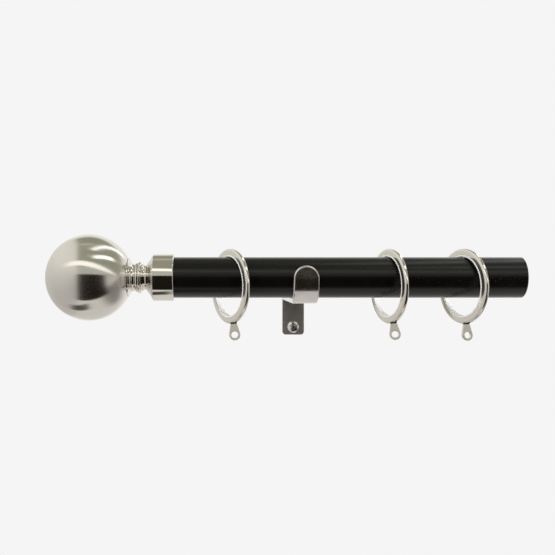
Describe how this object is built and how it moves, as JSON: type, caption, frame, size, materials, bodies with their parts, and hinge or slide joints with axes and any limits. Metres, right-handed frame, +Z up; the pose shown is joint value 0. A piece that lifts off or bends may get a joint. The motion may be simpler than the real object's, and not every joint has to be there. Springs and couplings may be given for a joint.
{
  "type": "curtain pole end",
  "caption": "Left-hand end of a round metal curtain pole with a ball finial, an open-cup wall bracket and lined sliding rings with swivel eyelets.",
  "frame": {"origin": "middle of the wall plate's back face, in the wall's plane", "axes": "+X along the pole away from the finial, +Y into the wall, +Z up"},
  "size_m": [0.3274, 0.1605, 0.076],
  "materials": {
    "satin_nickel": "satin nickel plate",
    "bright_nickel": "polished nickel plate",
    "brushed_nickel": "fine brushed nickel",
    "black_lacquer": "satin black lacquer",
    "white_nylon": "smooth white nylon",
    "grey_nylon": "matt grey nylon",
    "black_nylon": "smooth black nylon",
    "bright_zinc": "bright zinc plate",
    "dull_zinc": "dull zinc plate",
    "black_oxide": "black oxide"
  },
  "bodies": {
    "bracket": {"wall_plate": "satin_nickel", "cup_arm": "satin_nickel", "wall_screw_lower": "bright_zinc", "wall_screw_upper": "bright_zinc", "wall_plug_lower": "grey_nylon", "wall_plug_upper": "grey_nylon"},
    "cup_lock": {"cup_grub_screw": "black_oxide"},
    "pole": {"pole_tube": "black_lacquer"},
    "finial": {"finial_collar": "bright_nickel", "finial_neck": "bright_nickel", "ball_shell": "brushed_nickel", "ball_boss": "dull_zinc", "finial_stud": "dull_zinc", "stud_nut": "dull_zinc"},
    "finial_lock": {"finial_grub_screw": "black_oxide"},
    "ring_slider_1": {"ring_1": "bright_nickel", "ring_liner_1": "white_nylon"},
    "eyelet_swivel_1": {"eyelet_1": "bright_nickel", "eyelet_washer_1": "black_nylon", "eyelet_head_1": "bright_nickel"},
    "ring_slider_2": {"ring_2": "bright_nickel", "ring_liner_2": "white_nylon"},
    "eyelet_swivel_2": {"eyelet_2": "bright_nickel", "eyelet_washer_2": "black_nylon", "eyelet_head_2": "bright_nickel"},
    "ring_slider_3": {"ring_3": "bright_nickel", "ring_liner_3": "white_nylon"},
    "eyelet_swivel_3": {"eyelet_3": "bright_nickel", "eyelet_washer_3": "black_nylon", "eyelet_head_3": "bright_nickel"}
  },
  "joints": [
    {"name": "pole_lift", "type": "slide", "parent": "bracket", "child": "pole", "axis": [0, 0, 1], "range_m": [0, 0.03]},
    {"name": "cup_lock_turn", "type": "hinge", "parent": "bracket", "child": "cup_lock", "pos_m": [0, -0.088, 0], "axis": [0, 0, -1], "range_deg": [0, 540]},
    {"name": "finial_pull", "type": "slide", "parent": "pole", "child": "finial", "axis": [-1, 0, 0], "range_m": [0, 0.03]},
    {"name": "finial_lock_turn", "type": "hinge", "parent": "finial", "child": "finial_lock", "pos_m": [-0.094, -0.088, 0.001], "axis": [0, 0, -1], "range_deg": [0, 540]},
    {"name": "ring_slide_1", "type": "slide", "parent": "pole", "child": "ring_slider_1", "axis": [1, 0, 0], "range_m": [-0.0235, 0.025]},
    {"name": "eyelet_turn_1", "type": "hinge", "parent": "ring_slider_1", "child": "eyelet_swivel_1", "pos_m": [-0.0511, -0.088, 0.00995], "axis": [-0.0942, 0.1757, 0.9799], "continuous": true},
    {"name": "ring_slide_2", "type": "slide", "parent": "pole", "child": "ring_slider_2", "axis": [1, 0, 0], "range_m": [-0.04, 0.015]},
    {"name": "eyelet_turn_2", "type": "hinge", "parent": "ring_slider_2", "child": "eyelet_swivel_2", "pos_m": [0.0585, -0.088, 0.00995], "axis": [-0.07, 0.2492, 0.9659], "continuous": true},
    {"name": "ring_slide_3", "type": "slide", "parent": "pole", "child": "ring_slider_3", "axis": [1, 0, 0], "range_m": [-0.014, 0.026]},
    {"name": "eyelet_turn_3", "type": "hinge", "parent": "ring_slider_3", "child": "eyelet_swivel_3", "pos_m": [0.1097, -0.088, 0.00995], "axis": [-0.0446, 0.1227, 0.9914], "continuous": true}
  ]
}
